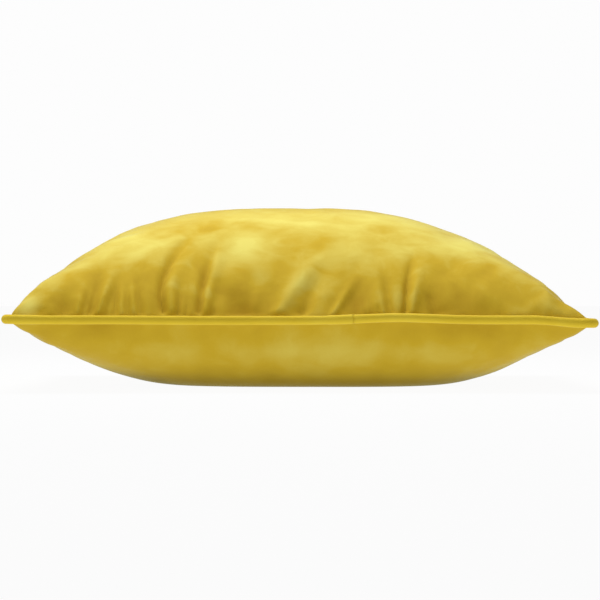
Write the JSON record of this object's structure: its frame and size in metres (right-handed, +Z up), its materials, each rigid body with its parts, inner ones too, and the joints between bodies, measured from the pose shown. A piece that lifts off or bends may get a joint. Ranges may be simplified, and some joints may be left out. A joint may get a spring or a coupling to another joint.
{
  "type": "throw pillow",
  "caption": "Square velvet throw pillow lying flat: a cover with a piped seam and a zip on the underside, round a cotton-cased fibre pad.",
  "frame": {"origin": "middle of the flat patch that the pillow lies on, at the middle of its plan", "axes": "+X along the front edge, +Y towards the back edge where the zip is, +Z up through the crown"},
  "size_m": [0.4888, 0.4894, 0.16],
  "materials": {
    "velvet": "mustard yellow velvet, brushed pile",
    "piping_velvet": "mustard yellow velvet on the bias",
    "cotton_cord": "twisted cotton cord",
    "zip_tape": "woven polyester tape",
    "zip_teeth": "satin moulded plastic",
    "zip_metal": "satin nickel plate",
    "label": "blank satin ribbon",
    "case_cotton": "plain cotton",
    "fibre": "polyester fibre"
  },
  "bodies": {
    "cushion": {"top_panel": "velvet", "bottom_panel": "velvet", "piping_wrap": "piping_velvet", "piping_cord": "cotton_cord", "zip_tape_front": "zip_tape", "zip_tape_back": "zip_tape", "zip_teeth_front": "zip_teeth", "zip_teeth_back": "zip_teeth", "zip_top_stop_front": "zip_teeth", "zip_top_stop_back": "zip_teeth", "zip_bottom_stop": "zip_teeth", "care_label": "label", "insert_case_top": "case_cotton", "insert_case_bottom": "case_cotton", "insert_filling": "fibre", "insert_label": "label"},
    "zip_slider": {"zip_slider_body": "zip_metal"},
    "zip_pull": {"zip_pull_tab": "zip_metal"}
  },
  "joints": [
    {"name": "zip_slide", "type": "slide", "parent": "cushion", "child": "zip_slider", "axis": [1, 0, 0], "range_m": [0, 0.32]},
    {"name": "zip_pull_swing", "type": "hinge", "parent": "zip_slider", "child": "zip_pull", "pos_m": [-0.16, 0.21062, 0.0339], "axis": [0, -0.7878, -0.6159], "range_deg": [-80, 80]}
  ]
}
